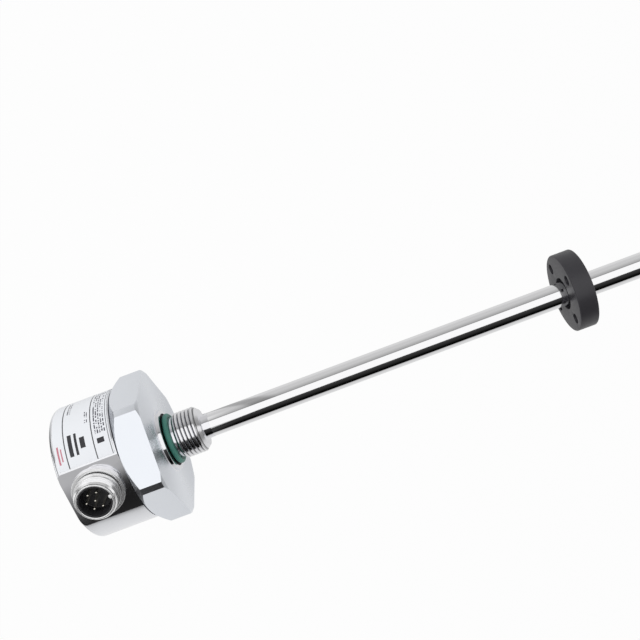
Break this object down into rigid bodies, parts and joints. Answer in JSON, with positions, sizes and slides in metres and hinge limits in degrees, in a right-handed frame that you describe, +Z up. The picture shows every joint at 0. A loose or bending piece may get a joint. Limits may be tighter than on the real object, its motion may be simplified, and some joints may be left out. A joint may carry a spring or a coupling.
{
  "type": "magnetostrictive position sensor",
  "caption": "Rod-style magnetostrictive position sensor: round electronics head with a side connector, hexagon screw-in flange, slim measuring rod and a ring magnet that slides along it.",
  "frame": {"origin": "centre of the flange's front face on the rod axis, where the sealing boss starts", "axes": "+X along the rod, away from the head; +Z up, square to a flat of the hexagon, with the connector 22.5 degrees from it towards -Y"},
  "size_m": [0.3519, 0.062, 0.0616],
  "materials": {
    "housing_steel": "fine turned",
    "flange_steel": "fine turned",
    "rod_steel": "polished",
    "green_seal": "satin",
    "black_seal": "satin",
    "label_foil": "satin",
    "nickel_shell": "bright nickel",
    "insert_plastic": "matt",
    "contact_gold": "plated",
    "nickel_nut": "nickel",
    "flex_film": "satin",
    "board_laminate": "satin",
    "chip_plastic": "matt",
    "capacitor_can": "satin",
    "holder_plastic": "matt",
    "coil_copper": "enamelled",
    "bias_ferrite": "matt",
    "waveguide_alloy": "drawn",
    "guide_steel": "drawn",
    "return_copper": "enamelled",
    "damper_rubber": "matt",
    "liner_plastic": "matt",
    "spacer_metal": "satin",
    "screw_steel": "plain",
    "magnet_plastic": "satin"
  },
  "bodies": {
    "sensor": {"head_housing": "housing_steel", "hex_flange": "flange_steel", "process_sealing_ring": "green_seal", "housing_sealing_ring": "black_seal", "rod_tube": "rod_steel", "rod_end_plug": "rod_steel", "type_label": "label_foil", "connector_shell": "nickel_shell", "connector_insert": "insert_plastic", "connector_sealing_ring": "black_seal", "connector_nut": "nickel_nut", "connector_flex": "flex_film", "interface_board": "board_laminate", "converter_board": "board_laminate", "timing_chip": "chip_plastic", "line_driver_chip": "chip_plastic", "supply_capacitor": "capacitor_can", "cartridge_holder": "holder_plastic", "pickup_coil": "coil_copper", "bias_magnet": "bias_ferrite", "waveguide": "waveguide_alloy", "waveguide_tube": "guide_steel", "return_wire": "return_copper", "end_damper": "damper_rubber", "cartridge_liner": "liner_plastic", "contact_pin_1": "contact_gold", "contact_pin_2": "contact_gold", "contact_pin_3": "contact_gold", "contact_pin_4": "contact_gold", "contact_pin_5": "contact_gold", "contact_pin_6": "contact_gold", "board_spacer_1": "spacer_metal", "board_screw_1": "screw_steel", "board_spacer_2": "spacer_metal", "board_screw_2": "screw_steel", "board_spacer_3": "spacer_metal", "board_screw_3": "screw_steel"},
    "magnet": {"ring_magnet": "magnet_plastic"}
  },
  "joints": [
    {"name": "magnet_slide", "type": "slide", "parent": "sensor", "child": "magnet", "axis": [1, 0, 0], "range_m": [-0.12555, 0.07445]}
  ]
}
